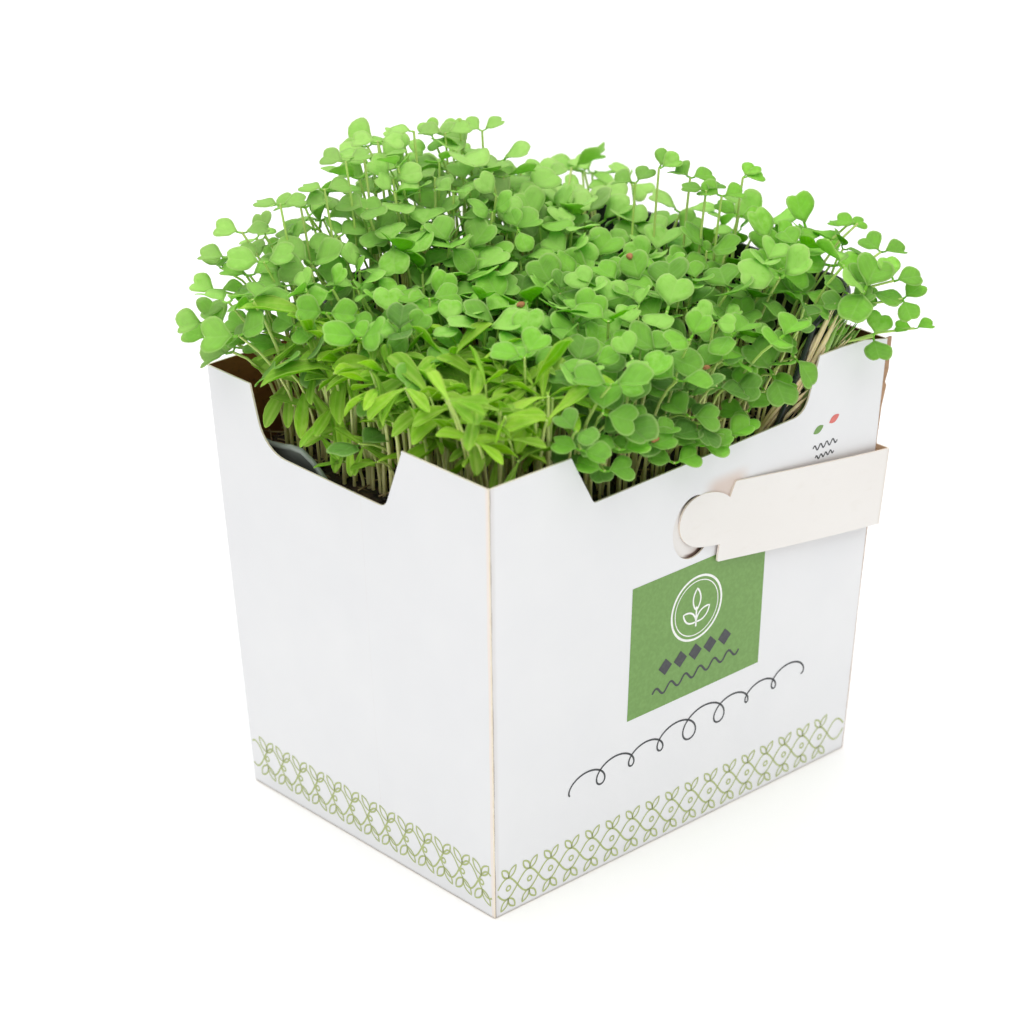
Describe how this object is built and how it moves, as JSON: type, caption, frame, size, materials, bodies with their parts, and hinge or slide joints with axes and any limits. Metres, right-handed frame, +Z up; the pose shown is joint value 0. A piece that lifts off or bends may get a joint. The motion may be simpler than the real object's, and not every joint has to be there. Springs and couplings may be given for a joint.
{
  "type": "carton of living microgreens",
  "caption": "Tapered white board carton with notched rims and a locked corner strap, holding a dark liner, growing medium and rooted microgreens.",
  "frame": {"origin": "middle of the carton's base, on the surface it stands on", "axes": "+Z up; the wall with the strap and the slot faces -Y; the carton's longer side runs along X"},
  "size_m": [0.2195, 0.1907, 0.2425],
  "materials": {
    "white_board": "smooth matt white-lined solid board, kraft brown inside",
    "cream_board": "uncoated cream board, kraft brown inside",
    "dark_plastic": "thin glossy dark grey-green plastic",
    "soil": "moist dark fibrous growing medium",
    "lance_greens": "fresh narrow leaves, soft sheen",
    "round_greens": "fresh round seed leaves, waxy sheen"
  },
  "bodies": {
    "root": {"carton": "white_board", "strap": "cream_board", "liner": "dark_plastic", "soil": "soil", "greens_lance": "lance_greens", "greens_back": "round_greens", "greens_front": "round_greens", "greens_middle": "round_greens"}
  },
  "joints": []
}
